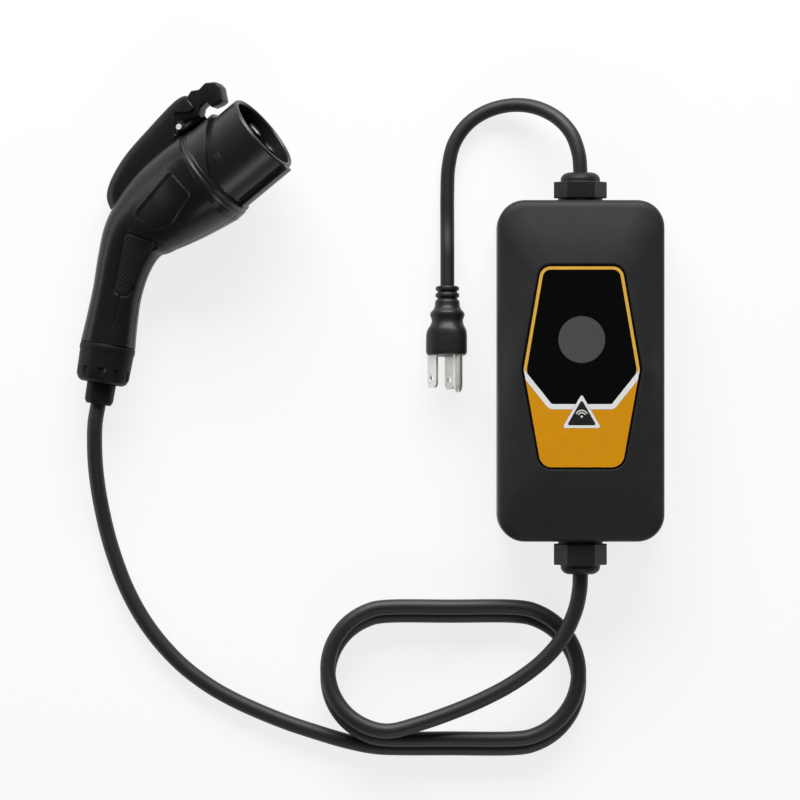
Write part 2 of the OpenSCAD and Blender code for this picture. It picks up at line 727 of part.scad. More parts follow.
module nose_collar() color([0.09, 0.09, 0.09])
    place_handle() difference() {
        union() {
            along_nose() rotate_extrude() polygon([[nose_r + fit, 0.05], [collar_r, 0.05], [collar_r, collar_l * 0.35],
                [collar_r - 0.9, collar_l * 0.5], [collar_r - 0.6, collar_l * 0.8], [nose_r + 1, collar_l],
                [nose_r + fit, collar_l]]);
            intersection() {
                along_nose() rotate_extrude() translate([nose_r + fit, collar_l * 0.35]) square([tongue_t, tongue_l]);
                rotate([90, 0, 0]) translate([0, 0, -nose_r * 2]) linear_extrude(nose_r * 4)
                    polygon([[0, -tongue_from], [collar_l, -tongue_from], [tongue_l, nose_r],
                        [tongue_l, nose_r * 2], [0, nose_r * 2]]);
            }
            translate([0.05, -lug_w / 2, nose_r + 1]) cube([collar_l - 0.1, lug_w, lug_z - nose_r - 1]);
            translate([lug_x, lug_w / 2, lug_z]) rotate([90, 0, 0]) cylinder(r = collar_l / 2 - 0.05, h = lug_w);
        }
        translate([lug_x, lug_w, lug_z]) rotate([90, 0, 0]) cylinder(r = pin_r, h = 2 * lug_w);
    }

module at_yz(list) {
    for (p = list)
        translate([0, p[0], p[1]]) along_nose() children();
}

module contact_carrier() color([0.07, 0.07, 0.07])
    place_handle() difference() {
        union() {
            along_nose() cylinder(r = nose_in - fit, h = carrier_t);
            at_yz(power_yz) cylinder(r = power_r + contact_wall + tower_wall, h = tower_top);
            at_yz(pe_yz) cylinder(r = pe_r + contact_wall + tower_wall, h = tower_top);
            at_yz(signal_yz) cylinder(r = signal_r + contact_wall + tower_wall, h = tower_top);
        }
        at_yz(power_yz) translate([0, 0, -1]) cylinder(r = power_r + contact_wall + fit / 2, h = tower_top + 2);
        at_yz(pe_yz) translate([0, 0, -1]) cylinder(r = pe_r + contact_wall + fit / 2, h = tower_top + 2);
        at_yz(signal_yz) translate([0, 0, -1]) cylinder(r = signal_r + contact_wall + fit / 2, h = tower_top + 2);
    }

module contact(r) {
    translate([0, 0, -9]) difference() {
        cylinder(r = r + contact_wall, h = tower_top + 8.4);
        translate([0, 0, tower_top + 8.4 - hole_l]) cylinder(r = r, h = hole_l + 1);
    }
}

module power_contacts() color([0.8, 0.78, 0.7]) place_handle() at_yz(power_yz) contact(power_r);
module earth_contact() color([0.8, 0.78, 0.7]) place_handle() at_yz(pe_yz) contact(pe_r);
module signal_contacts() color([0.8, 0.78, 0.7]) place_handle() at_yz(signal_yz) contact(signal_r);

module latch_switch() color([0.15, 0.15, 0.2])
    place_handle() translate([-back_t - 11, -3, 17]) cube([11 - eps, 6, 5]);

module cable_clamp() color([0.3, 0.3, 0.3])
    place_handle() along_grip() translate([0, 0, -10]) difference() {
        cylinder(r = 10.6, h = 7);
        translate([0, 0, -1]) cylinder(r = cable_r + fit, h = 9);
    }

module end_cap() color([0.1, 0.1, 0.1])
    place_handle() along_grip() difference() {
        rotate_extrude() polygon([[0, 0.05], [cap_r, 0.05], [cap_r + 0.35, 1], [cap_r + 0.35, 3], [cap_r, 4],
            [cap_r - 0.4, cap_l - 3.5], [cap_r - 1.4, cap_l - 1.2], [cap_r - 3.2, cap_l], [0, cap_l]]);
        for (i = [0 : scoops - 1])
            rotate(360 * i / scoops) translate([cap_r + 1.9, 0, cap_l * 0.62]) cylinder(r = 3, h = cap_l);
        translate([0, 0, -1]) cylinder(r = cable_r + 4, h = cap_l - 6);
        translate([0, 0, -1]) cylinder(r = cable_r + fit, h = cap_l + 2);
    }

module handle_strain_relief() color([0.08, 0.08, 0.08])
    place_handle() along_grip() translate([0, 0, cap_l + 0.02]) difference() {
        rotate_extrude() polygon([[0, 0], [cable_r + 3.6, 0], [cable_r + 3.4, relief_l - 2], [cable_r + 2.4, relief_l],
            [0, relief_l]]);
        translate([0, 0, -1]) cylinder(r = cable_r + fit, h = relief_l + 2);
    }

// Latch
module latch_pin() color([0.75, 0.75, 0.77])
    place_handle() translate([lug_x, lever_w / 2 - 0.3, lug_z]) rotate([90, 0, 0]) cylinder(r = pin_r, h = lever_w - 0.6);

module lever_side() {
    polygon([[-53, 23.9], [-44, 27.2], [-28, 29], [-12, 28.6], [9, 28.2], [14, 28.4], [17.6, 31.6], [21.8, 32],
        [22.6, 27.8], [26.5, 26.6], [29.5, 26.6], [32.6, 33.6], [32.2, 37], [27.2, 40.4], [22.4, 39.8], [18.6, 42],
        [15, 40.8], [14.2, 42.8], [11.6, 44], [6.6, 44.4], [-3, 43.4], [-14, 41.8], [-24, 40.3], [-32, 38.5],
        [-39, 36.1], [-45, 33.2], [-49.8, 29.8], [-52.4, 26.8]]);
}

module latch_lever() color([0.08, 0.08, 0.08])
    place_handle() difference() {
        intersection() {
            translate([0, lever_w / 2, 0]) rotate([90, 0, 0]) linear_extrude(lever_w) lever_side();
            union() {
                translate([-60, -lever_w / 2, 0]) cube([75.4, lever_w, 60]);
                translate([-60, -hook_w / 2, 0]) cube([100, hook_w, 60]);
            }
        }
        translate([-collar_l * 0.4, -lug_w / 2 - lug_clear, 0]) cube([collar_l * 1.8, lug_w + 2 * lug_clear, lug_z + 4]);
        translate([lug_x, lever_w, lug_z]) rotate([90, 0, 0]) cylinder(r = pin_r + pin_clear, h = 2 * lever_w);
        translate([spring_x, 0, spring_z]) cylinder(r = 3.1, h = spring_l);
    }

module latch_spring() color([0.7, 0.7, 0.72])
    place_handle() translate([spring_x, 0, spring_z + 0.05 + wire_r])
        skin([for (i = [0 : 48]) let (a = i * 30, c = [2.3 * cos(a), 2.3 * sin(a), i * (spring_l - 0.15 - 2 * wire_r) / 48],
                f = unit([-sin(a), cos(a), 0.14]), u = [cos(a), sin(a), 0], v = cross(f, u))
            [for (j = [0 : 7]) c + wire_r * (cos(45 * j) * u + sin(45 * j) * v)]]);

rear_cover();
case_seal();
front_shell();
cover_screws();
face_panel();
panel_frame();
panel_field();
chevron_stripe();
tap_badge();
tap_badge_face();
indicator_lens();
led_ring();
circuit_board();
relays();
current_sensor();
power_module();
terminal_blocks();
board_screws();
input_gland_body();
input_gland_nut();
input_gland_seal();
input_gland_locknut();
output_gland_body();
output_gland_nut();
output_gland_seal();
output_gland_locknut();
input_lead();
plug_body();
plug_blades();
plug_earth_pin();
cable_to_box();
cable_coil();
cable_to_handle();
handle_shell_left();
handle_shell_right();
nose_barrel();
nose_collar();
contact_carrier();
power_contacts();
earth_contact();
signal_contacts();
grip_pad_left();
grip_pad_right();
latch_switch();
cable_clamp();
end_cap();
handle_strain_relief();
handle_screws();
latch_pin();
latch_lever();
latch_spring();
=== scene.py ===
"""Looks of the portable charger: control box, input lead with plug, coiled cable and vehicle connector."""
import functools
import math

import bmesh
import bpy
from mathutils import Matrix, Vector


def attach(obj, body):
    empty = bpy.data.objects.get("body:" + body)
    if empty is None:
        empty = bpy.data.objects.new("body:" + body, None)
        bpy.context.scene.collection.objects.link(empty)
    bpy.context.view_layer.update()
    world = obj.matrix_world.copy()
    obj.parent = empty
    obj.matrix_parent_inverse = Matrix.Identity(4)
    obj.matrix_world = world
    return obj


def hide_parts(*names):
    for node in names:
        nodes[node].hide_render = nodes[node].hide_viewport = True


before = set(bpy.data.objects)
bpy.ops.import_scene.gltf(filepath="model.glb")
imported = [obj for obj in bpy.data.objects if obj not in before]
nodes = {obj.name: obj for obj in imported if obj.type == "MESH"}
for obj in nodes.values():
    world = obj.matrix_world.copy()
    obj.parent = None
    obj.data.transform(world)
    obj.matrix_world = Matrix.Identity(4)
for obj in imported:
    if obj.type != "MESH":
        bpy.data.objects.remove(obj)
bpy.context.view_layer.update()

MM = 0.001

# Sizes shared with part.scad, in millimetres
HALF_W = 43
HALF_L = 88
CASE_H = 48
COVER_H = 12
GLAND_Z = 25
IN_END = 102.5
OUT_END = 105
LEAD_D = 7.4
CABLE_D = 8
PLUG_POS = Vector((-68.6, 44, 9.3))
PLUG_TILT = math.radians(5)
PLUG_ROLL = math.radians(-45)
NOSE_POS = Vector((-191, 100.1, 28))
AIM = math.radians(39)
NOSE_UP = math.radians(14)
ROLL = math.radians(17.5)
CAP_L = 20
RELIEF_END = 31
# stations of the handle's spine: X, Z, half height, half width
SPINE = [(-0.1, 0, 25.6, 25.4), (-13.5, 1.6, 24.8, 23.6), (-27.5, 3, 23.4, 19.5), (-40.5, 3, 20.6, 15.9),
         (-52, 1, 17.2, 13.9), (-63.5, -5.6, 14.2, 13), (-75.5, -15.4, 12.6, 12.4), (-86.5, -25.6, 13, 12.7),
         (-96.5, -35.3, 14, 13.7)]
SPINE_END = len(SPINE) - 1
GRIP_WAY = Vector((SPINE[-2][0] - SPINE[-1][0], 0, SPINE[-2][1] - SPINE[-1][1])).normalized()
GRIP_POS = Vector((SPINE[-1][0], 0, SPINE[-1][1]))

# From the connector's own frame (X out of the nose, Z towards the latch) to the shared frame
HANDLE = (Matrix.Translation(NOSE_POS) @ Matrix.Rotation(AIM, 4, "Z") @ Matrix.Rotation(-NOSE_UP, 4, "Y")
          @ Matrix.Rotation(-math.pi / 2 - ROLL, 4, "X"))
# From the plug's own frame (Z out of its face) to the shared frame
PLUG = (Matrix.Translation(PLUG_POS) @ Matrix.Rotation(math.pi / 2 - PLUG_TILT, 4, "X")
        @ Matrix.Rotation(PLUG_ROLL, 4, "Z"))


# Camera, straight above the spread-out object
def make_camera():
    data = bpy.data.cameras.new("camera")
    distance = 3.0
    # width of the picture at the height of the case's front
    field = 0.4103
    middle_x, middle_y = -0.0932, -0.015
    data.sensor_width = 36
    data.lens = data.sensor_width * distance / field
    data.clip_end = 20
    camera = bpy.data.objects.new("camera", data)
    camera.location = (middle_x, middle_y, CASE_H * MM + distance)
    bpy.context.collection.objects.link(camera)
    bpy.context.scene.camera = camera


make_camera()


# Curves
CORD_STEPS = 6


def catmull(points, t):
    """Point at t on the smooth curve through points, as in part.scad."""
    last = len(points) - 1
    i = min(int(t), last - 1)
    f = t - i
    a, b, c, d = (Vector(points[min(max(k, 0), last)]) for k in (i - 1, i, i + 1, i + 2))
    return 0.5 * (2 * b + (c - a) * f + (2 * a - 5 * b + 4 * c - d) * f * f
                  + (3 * b - a - 3 * c + d) * f ** 3)


def fine(points, steps):
    """The curve through points with that many steps to a span."""
    count = (len(points) - 1) * steps
    return [catmull(points, k / steps) for k in range(count + 1)]


def step(low_edge, high_edge, value):
    """0 below low_edge, 1 above high_edge and smooth between them."""
    f = min(max((value - low_edge) / (high_edge - low_edge), 0), 1)
    return f * f * (3 - 2 * f)


def cord_object(name, route, diameter):
    """One open spline along a route in millimetres, as a round cord."""
    data = bpy.data.curves.new(name, "CURVE")
    data.dimensions = "3D"
    data.bevel_depth = diameter / 2 * MM
    data.bevel_resolution = 6
    data.use_fill_caps = True
    spline = data.splines.new("POLY")
    points = fine(route, CORD_STEPS)
    spline.points.add(len(points) - 1)
    for point, place in zip(spline.points, points):
        point.co = (*(place * MM), 1)
    spline.use_smooth = True
    obj = bpy.data.objects.new(name, data)
    bpy.context.collection.objects.link(obj)
    return obj


def at_plug(s):
    """Point on the plug's axis, s from its back end towards its face."""
    return tuple(PLUG_POS + s * Vector((0, -math.cos(PLUG_TILT), math.sin(PLUG_TILT))))


def at_grip(s):
    """Point on the grip's axis, s behind the housing's end."""
    return tuple(HANDLE @ (GRIP_POS - s * GRIP_WAY))


# Cords: points that each one passes through, from its end inside the box
LYING = CABLE_D / 2 + 0.05
LEAD_ROUTE = [(0, 80, GLAND_Z), (0, 92, GLAND_Z), (0, IN_END, GLAND_Z), (-1, 113, 24), (-5, 123.5, 21.5),
              (-13, 132, 17), (-24, 137.2, 11.5), (-36, 138.2, 7.3), (-48, 135.2, 4.8), (-58, 128.6, 3.8),
              (-65, 118.5, 3.8), (-68, 106, 3.8), (-68.6, 92, 3.8), (-68.6, 77, 4.3),
              at_plug(-19), at_plug(-9), at_plug(0), at_plug(9)]
BOX_ROUTE = [(0, -80, GLAND_Z), (0, -92, GLAND_Z), (0, -OUT_END, GLAND_Z), (-0.5, -114, 24.8), (-3, -125, 24),
             (-9.5, -138.5, 23), (-20.5, -151, 21.8), (-35.5, -162, 20.2), (-51.5, -170.5, 18.8),
             (-67, -177, 17.8), (-83, -182.6, 17.1)]
# from the coil to the connector: first along the floor, then up to the strain relief
FLOOR_ROUTE = [(-92, -196), (-107, -195.3), (-122, -192.2), (-137.5, -187.6), (-152, -182.8), (-167, -176.8),
               (-180, -170.8), (-192, -164), (-204.5, -154.8), (-214.5, -145), (-223, -134.6),
               (-230.3, -123.2), (-236.5, -110.7), (-241.3, -98)]
RISING_ROUTE = [(-245, -86, 4.2), (-247.8, -74, 5.3), (-249.9, -62, 7.8), (-251.2, -50, 11.3),
                (-251.6, -38.5, 14.5), at_grip(RELIEF_END + 10), at_grip(RELIEF_END), at_grip(CAP_L),
                at_grip(4), at_grip(-10.5)]
HANDLE_ROUTE = [(x, y, LYING) for x, y in FLOOR_ROUTE] + RISING_ROUTE

COIL_LEFT = -98.7
COIL_RIGHT = -34.7


def coil_turns():
    """Two turns of a long coil, clockwise from above: the upper one first, each end an arc of its own."""
    points = []
    # each end's centre X, Y of its first and last point, height at its first and last point, side of the coil
    ends = [(COIL_LEFT, -186.5, -122.5, 17, 11.2, -1), (COIL_RIGHT, -122.5, -191, 11.2, 10.6, 1),
            (COIL_LEFT, -191, -127, 10.4, LYING, -1), (COIL_RIGHT, -127, -196, LYING, LYING, 1)]
    steps = 8
    middle = (COIL_LEFT + COIL_RIGHT) / 2
    for x, y0, y1, z0, z1, side in ends:
        radius = abs(y1 - y0) / 2
        for k in range(steps + 1):
            turn = math.pi * k / steps
            # the height is reached early, before the end of the arc
            drop = step(0, 1, 1.6 * k / steps)
            points.append((x + side * radius * math.sin(turn), (y0 + y1) / 2 + (y0 - y1) / 2 * math.cos(turn),
                           z0 + (z1 - z0) * drop))
        points.append((middle, y1, z1))
    return points


CABLE_ROUTE = BOX_ROUTE + coil_turns() + HANDLE_ROUTE


# Materials
def tree_of(name):
    mat = bpy.data.materials.new(name)
    mat.use_nodes = True
    tree = mat.node_tree
    return mat, tree, tree.nodes["Principled BSDF"]


def noise(tree, size, detail=3.0):
    """Noise with features of about that size in millimetres, fixed to the object."""
    place = tree.nodes.new("ShaderNodeTexCoord")
    texture = tree.nodes.new("ShaderNodeTexNoise")
    texture.inputs["Scale"].default_value = 1 / (size * MM)
    texture.inputs["Detail"].default_value = detail
    tree.links.new(place.outputs["Object"], texture.inputs["Vector"])
    return texture.outputs["Fac"]


def spread(tree, value, low, high):
    """value, mostly between 0.3 and 0.7, taken to low and high."""
    change = tree.nodes.new("ShaderNodeMapRange")
    change.inputs["From Min"].default_value = 0.3
    change.inputs["From Max"].default_value = 0.7
    change.inputs["To Min"].default_value = low
    change.inputs["To Max"].default_value = high
    tree.links.new(value, change.inputs["Value"])
    return change.outputs["Result"]


def relief(tree, shader, height, depth):
    """Bump of that depth in millimetres."""
    bump = tree.nodes.new("ShaderNodeBump")
    bump.inputs["Distance"].default_value = depth * MM
    bump.inputs["Strength"].default_value = 1
    tree.links.new(height, bump.inputs["Height"])
    tree.links.new(bump.outputs["Normal"], shader.inputs["Normal"])


def shade(rgb, factor):
    """Colour with alpha, made lighter or darker."""
    return (*(min(c * factor, 1) for c in rgb), 1)


def finish(name, rgb, rough, grain, depth, mottle=0.08, cloud=9.0, metallic=0.0, specular=0.3):
    """Moulded, printed or plated surface: grain for its bump, cloudy colour and uneven gloss.

    grain, depth and cloud are in millimetres.
    """
    gloss_spread = 0.05
    mat, tree, shader = tree_of(name)
    clouds = noise(tree, cloud)
    fine_grain = noise(tree, grain, 2.0)
    mix = tree.nodes.new("ShaderNodeMix")
    mix.data_type = "RGBA"
    mix.inputs["A"].default_value = shade(rgb, 1 - mottle)
    mix.inputs["B"].default_value = shade(rgb, 1 + mottle)
    tree.links.new(spread(tree, clouds, 0, 1), mix.inputs["Factor"])
    tree.links.new(mix.outputs["Result"], shader.inputs["Base Color"])
    tree.links.new(spread(tree, fine_grain, rough - gloss_spread, rough + gloss_spread),
                   shader.inputs["Roughness"])
    shader.inputs["Metallic"].default_value = metallic
    shader.inputs["Specular IOR Level"].default_value = specular
    relief(tree, shader, fine_grain, depth)
    return mat


def grey(value):
    """Linear colour of an sRGB grey of 0 to 255."""
    return tone(value, value, value)


def tone(r, g, b):
    """Linear colour of sRGB values of 0 to 255."""
    return tuple(c / 255 / 12.92 if c <= 10 else ((c / 255 + 0.055) / 1.055) ** 2.4 for c in (r, g, b))


case_plastic = finish("case_plastic", grey(41), 0.46, 0.35, 0.006, specular=0.15)
cover_plastic = finish("cover_plastic", grey(30), 0.46, 0.35, 0.008, specular=0.2)
seal_rubber = finish("seal_rubber", grey(60), 0.7, 0.5, 0.02)
cord_jacket = finish("cord_jacket", grey(25), 0.52, 0.5, 0.003, cloud=30, specular=0.5)
plug_plastic = finish("plug_plastic", grey(30), 0.4, 0.3, 0.005)
panel_black = finish("panel_black", grey(5), 0.36, 0.6, 0.004, specular=0.1)
amber_print = finish("amber_print", tone(206, 140, 16), 0.45, 0.25, 0.006, mottle=0.03, specular=0.1)
amber_line = finish("amber_line", tone(216, 166, 66), 0.45, 0.25, 0.006, mottle=0.03, specular=0.1)
white_print = finish("white_print", tone(222, 222, 220), 0.45, 0.25, 0.006, mottle=0.03, specular=0.1)
badge_print = finish("badge_print", tone(34, 33, 32), 0.35, 0.25, 0.006)
lens_plastic = finish("lens", grey(74), 0.4, 0.4, 0.006, mottle=0.05, specular=0.15)
handle_plastic = finish("handle_plastic", grey(18), 0.3, 0.3, 0.004, specular=0.27)
cap_plastic = finish("cap_plastic", grey(19), 0.5, 0.3, 0.006, specular=0.15)
lever_plastic = finish("lever_plastic", grey(18), 0.32, 0.3, 0.004, specular=0.25)
hook_plastic = finish("hook_plastic", grey(12), 0.38, 0.3, 0.005)
nose_plastic = finish("nose_plastic", grey(18), 0.36, 0.3, 0.004, specular=0.5)
carrier_plastic = finish("carrier_plastic", grey(26), 0.45, 0.3, 0.005)
grip_rubber = finish("grip_rubber", grey(24), 0.55, 0.5, 0.01, specular=0.15)
plated = finish("plated", tone(238, 237, 233), 0.5, 0.15, 0.004, mottle=0.04, metallic=1)
contact_metal = finish("contact_metal", tone(230, 229, 226), 0.58, 0.2, 0.006, mottle=0.05, metallic=1)
steel = finish("steel", tone(190, 190, 193), 0.3, 0.2, 0.006, mottle=0.05, metallic=1)
dark_steel = finish("dark_steel", grey(34), 0.42, 0.2, 0.004, metallic=1)
board_green = finish("board", tone(24, 92, 52), 0.4, 0.5, 0.01)
component = finish("component", grey(40), 0.45, 0.4, 0.01)
module_white = finish("module_white", tone(222, 221, 214), 0.45, 0.4, 0.01)

NODE_LOOKS = {
    case_plastic: ["front_shell"],
    cover_plastic: ["rear_cover", "input_gland_body", "input_gland_nut", "input_gland_locknut",
                    "output_gland_body", "output_gland_nut", "output_gland_locknut", "cable_clamp"],
    seal_rubber: ["case_seal", "input_gland_seal", "output_gland_seal"],
    steel: ["cover_screws", "board_screws", "handle_screws"],
    dark_steel: ["latch_spring"],
    panel_black: ["face_panel"],
    amber_line: ["panel_frame"],
    amber_print: ["panel_field"],
    white_print: ["chevron_stripe", "tap_badge"],
    badge_print: ["tap_badge_face"],
    lens_plastic: ["indicator_lens"],
    board_green: ["led_ring", "circuit_board"],
    component: ["relays", "current_sensor", "terminal_blocks", "latch_switch"],
    module_white: ["power_module"],
    plug_plastic: ["plug_body"],
    plated: ["plug_blades", "plug_earth_pin"],
    contact_metal: ["power_contacts", "earth_contact", "signal_contacts", "latch_pin"],
    handle_plastic: ["handle_shell_left", "handle_shell_right"],
    cap_plastic: ["end_cap", "handle_strain_relief"],
    lever_plastic: ["latch_lever"],
    nose_plastic: ["nose_barrel", "nose_collar"],
    carrier_plastic: ["contact_carrier"],
    grip_rubber: ["grip_pad_left", "grip_pad_right"],
    cord_jacket: ["input_lead", "cable_to_box", "cable_coil", "cable_to_handle"],
}


def paint(obj, mat):
    obj.data.materials.clear()
    obj.data.materials.append(mat)


for look, names in NODE_LOOKS.items():
    for node_name in names:
        paint(nodes[node_name], look)


# Meshes
def mesh_object(name, mesh, mat):
    """New object from a bmesh, which is used up, with its faces smooth and turned outward."""
    bmesh.ops.recalc_face_normals(mesh, faces=mesh.faces)
    for face in mesh.faces:
        face.smooth = True
    obj = bpy.data.objects.new(name, bpy.data.meshes.new(name))
    bpy.context.collection.objects.link(obj)
    paint(obj, mat)
    mesh.to_mesh(obj.data)
    mesh.free()
    return obj


def grid_object(name, rings, mat, closed=True, caps=()):
    """Smooth skin through rings of points in millimetres.

    caps lists the rings that are closed with a face.
    """
    mesh = bmesh.new()
    rows = [[mesh.verts.new(Vector(p) * MM) for p in ring] for ring in rings]
    count = len(rings[0])
    for low_row, high_row in zip(rows, rows[1:]):
        for j in range(count if closed else count - 1):
            k = (j + 1) % count
            mesh.faces.new((low_row[j], low_row[k], high_row[k], high_row[j]))
    for cap in caps:
        mesh.faces.new(rows[cap])
    obj = mesh_object(name, mesh, mat)
    obj.data.set_sharp_from_angle(angle=math.radians(50))
    return obj


def stand_for(obj, slot, *names, body="charger"):
    """Lets obj ride on a body in place of the CAD nodes of those names."""
    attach(obj, body)
    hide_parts(*names)


def soften(name, width):
    """Rounds a CAD node's sharp edges by width in millimetres and smooths what is meant to be round."""
    sharp_angle = math.radians(32)
    obj = nodes[name]
    if "custom_normal" in obj.data.attributes:
        obj.data.attributes.remove(obj.data.attributes["custom_normal"])
    obj.data.polygons.foreach_set("use_smooth", [True] * len(obj.data.polygons))
    weld = obj.modifiers.new("weld", "WELD")
    weld.merge_threshold = 0.004 * MM
    bevel = obj.modifiers.new("bevel", "BEVEL")
    bevel.width = width * MM
    bevel.segments = 3
    bevel.limit_method = "ANGLE"
    bevel.angle_limit = sharp_angle
    bevel.harden_normals = True


# Plug: ribbed neck, bulge and a body with a lobe over each prong
PLUG_L = 36
# radius and place along the plug
NECK = [(5.3, 0), (6, 0.4), (6.15, 1.1), (6.05, 2), (5.3, 2.3), (5.1, 2.8), (5.15, 3.3), (6, 3.7),
        (6.25, 4.6), (6.15, 5.5), (5.4, 5.8), (5.2, 6.4), (5.3, 6.9), (6.1, 7.3), (6.4, 8.4), (6.45, 9.8),
        (6.7, 11), (7.5, 12.4), (8.5, 13.4), (8.95, 14.3), (8.95, 15.3), (8.5, 16.4), (8.15, 17.4),
        (8.2, 18.6), (8.8, 20.2)]
FACE_END = [(9.9, 21.8), (10.7, 23.3), (11.1, 25.2), (11.2, 28), (11.2, PLUG_L - 2), (11, PLUG_L - 0.9),
            (10.5, PLUG_L - 0.25), (9.8, PLUG_L)]
LOBES = [math.radians(a) for a in (90, -34, 214)]
LOBE_SPREAD = math.radians(38)


def lobe(turn):
    """1 over a prong, towards 0 between two of them."""
    away = min(abs((turn - a + math.pi) % (2 * math.pi) - math.pi) for a in LOBES)
    return math.exp(-(away / LOBE_SPREAD) ** 2)


def plug_moulding():
    sides = 144
    # the hollows between the lobes grow from waist to full, up to this share of the radius
    waist, full, hollow = 18, 25, 0.13
    rings = []
    for radius, along in NECK + FACE_END:
        depth = hollow * min(max((along - waist) / (full - waist), 0), 1)
        ring = []
        for j in range(sides):
            turn = 2 * math.pi * j / sides
            r = radius * (1 - depth * (1 - lobe(turn)))
            ring.append(PLUG @ Vector((r * math.cos(turn), r * math.sin(turn), along)))
        rings.append(ring)
    obj = grid_object("plug_moulding", rings, plug_plastic, caps=(0, len(rings) - 1))
    stand_for(obj, "cord_jacket", "plug_body")
    return obj


# Input lead and charging cable
lead = cord_object("input_lead_cord", LEAD_ROUTE, LEAD_D)
paint(lead, cord_jacket)
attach(lead, "charger")
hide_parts("input_lead")
plug_moulding()

cable = cord_object("charging_cable", CABLE_ROUTE, CABLE_D)
paint(cable, cord_jacket)
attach(cable, "charger")
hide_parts("cable_to_box", "cable_coil", "cable_to_handle")


# Control box: front half with a soft shoulder and four slopes up to the six-sided panel
SIDE_Y = 0.9
CASE_R = 14
# steps of a rounded corner
ARC_STEPS = 16
# corners counterclockwise from the right side's middle, each with its radius
CASE_CORNERS = [((HALF_W, SIDE_Y), 0), ((HALF_W, HALF_L), CASE_R), ((-HALF_W, HALF_L), CASE_R),
                ((-HALF_W, SIDE_Y), 0), ((-HALF_W, -HALF_L), CASE_R), ((HALF_W, -HALF_L), CASE_R)]
PANEL_CORNERS = [((30.9, SIDE_Y), 0.6), ((21.5, 54.5), 6.8), ((-21.5, 54.5), 6.8), ((-30.9, SIDE_Y), 0.6),
                 ((-21.6, -50.5), 7.5), ((21.6, -50.5), 7.5)]


def even_steps(path, count):
    """count points at even distances along a path, without its last one."""
    lengths = [0.0]
    for a, b in zip(path, path[1:]):
        lengths.append(lengths[-1] + (b - a).length)
    points = []
    span = 0
    for k in range(count):
        goal = lengths[-1] * k / count
        while lengths[span + 1] < goal:
            span += 1
        f = (goal - lengths[span]) / max(lengths[span + 1] - lengths[span], 1e-9)
        points.append(path[span].lerp(path[span + 1], f))
    return points


def outline(corners, grow, count=44):
    """Rounded outline, grown outward by that much.

    It has count points from each corner's middle to the next one's. A corner that bends inward has a radius
    below 0.
    """
    places = [Vector(c) for c, _ in corners]
    arcs = []
    for i, (_, radius) in enumerate(corners):
        here = places[i]
        before = (here - places[i - 1]).normalized()
        after = (places[(i + 1) % len(places)] - here).normalized()
        n0, n1 = Vector((before.y, -before.x)), Vector((after.y, -after.x))
        lean = (n0 + n1) / (1 + n0.dot(n1))
        r = max(radius + grow, 0.05) if radius >= 0 else min(radius + grow, -0.05)
        centre = here + lean * (grow - r)
        start = math.atan2(n0.y, n0.x)
        bend = -n0.angle_signed(n1)
        turns = [start + bend * k / ARC_STEPS for k in range(ARC_STEPS + 1)]
        arcs.append([centre + r * Vector((math.cos(turn), math.sin(turn))) for turn in turns])
    points = []
    middle = ARC_STEPS // 2
    for i, arc in enumerate(arcs):
        points += even_steps(arc[middle:] + arcs[(i + 1) % len(arcs)][:middle + 1], count)
    return points


def case_front():
    # inset from the case's side and height, up to the edge of the slopes
    shoulder = [(0, COVER_H + 0.15), (0, 13), (0, 24), (0, 35), (0, 36), (0.1, 37), (0.35, 38), (0.75, 38.9),
                (1.3, 39.6), (2, 40.1)]
    slope_inset, slope_foot = shoulder[-1]
    slope_top = CASE_H - 0.1
    # how much the slopes level off towards the panel
    levelling = 0.16
    rings = [[(p.x, p.y, z) for p in outline(CASE_CORNERS, -inset)] for inset, z in shoulder]
    foot = outline(CASE_CORNERS, -slope_inset)
    edge = outline(PANEL_CORNERS, 1.5)
    steps = 14
    for k in range(1, steps + 1):
        f = k / steps
        rise = slope_foot + (slope_top - slope_foot) * (f - levelling * f ** 3) / (1 - levelling)
        rings.append([(*a.lerp(b, f), rise) for a, b in zip(foot, edge)])
    # rim round the panel and the narrow gap beside it
    for grow, z in ((1.1, CASE_H), (0.4, CASE_H - 0.02), (0.16, CASE_H - 0.2), (0.14, CASE_H - 1.1)):
        rings.append([(p.x, p.y, z) for p in outline(PANEL_CORNERS, grow)])
    obj = grid_object("case_front", rings, case_plastic)
    stand_for(obj, "case_plastic", "front_shell")


case_front()


# Connector housing: two halves along the spine, with a label field, a textured grip and a parting line
# corners and ends of its details, in X and Z of the connector's own frame
LABEL = [(-12, 4.5), (-10.5, -7.2), (-26.5, -9.8), (-34.5, -7), (-37.5, 2.6)]
GRIP = [(-51, -0.6), (-43.5, -11.6), (-60, -18.4), (-70.6, -22.4), (-72.4, -19.2)]
SEAM = [(-73, -22.6), (-91, -38)]
# rounding of the two fields' corners, their depth, and the angle up to which the flank's details reach
LABEL_R = 2.4
GRIP_R = 1.6
FIELD_SINK = 0.42
FLANK_TURN = math.radians(62)
# how square the housing's cross section is, and half of the gap between its halves
SKIN_POWER = 0.88
HALF_GAP = 0.05
# latch lever: its pin, its swing, and its tail and front in X
PIN = Vector((2.75, 0, 30.5))
LEVER_SWING = math.radians(3.5)
LEVER_TAIL = -53
LEVER_FRONT = 15
# inner and outer edge of the lever's channel, from the lever's side
CHANNEL = (0.8, 1.3)
# room under the lever's walls, and where the channel ends behind the lever's tail
CHANNEL_ROOM = 1.9
CHANNEL_END = (-56.4, -55)


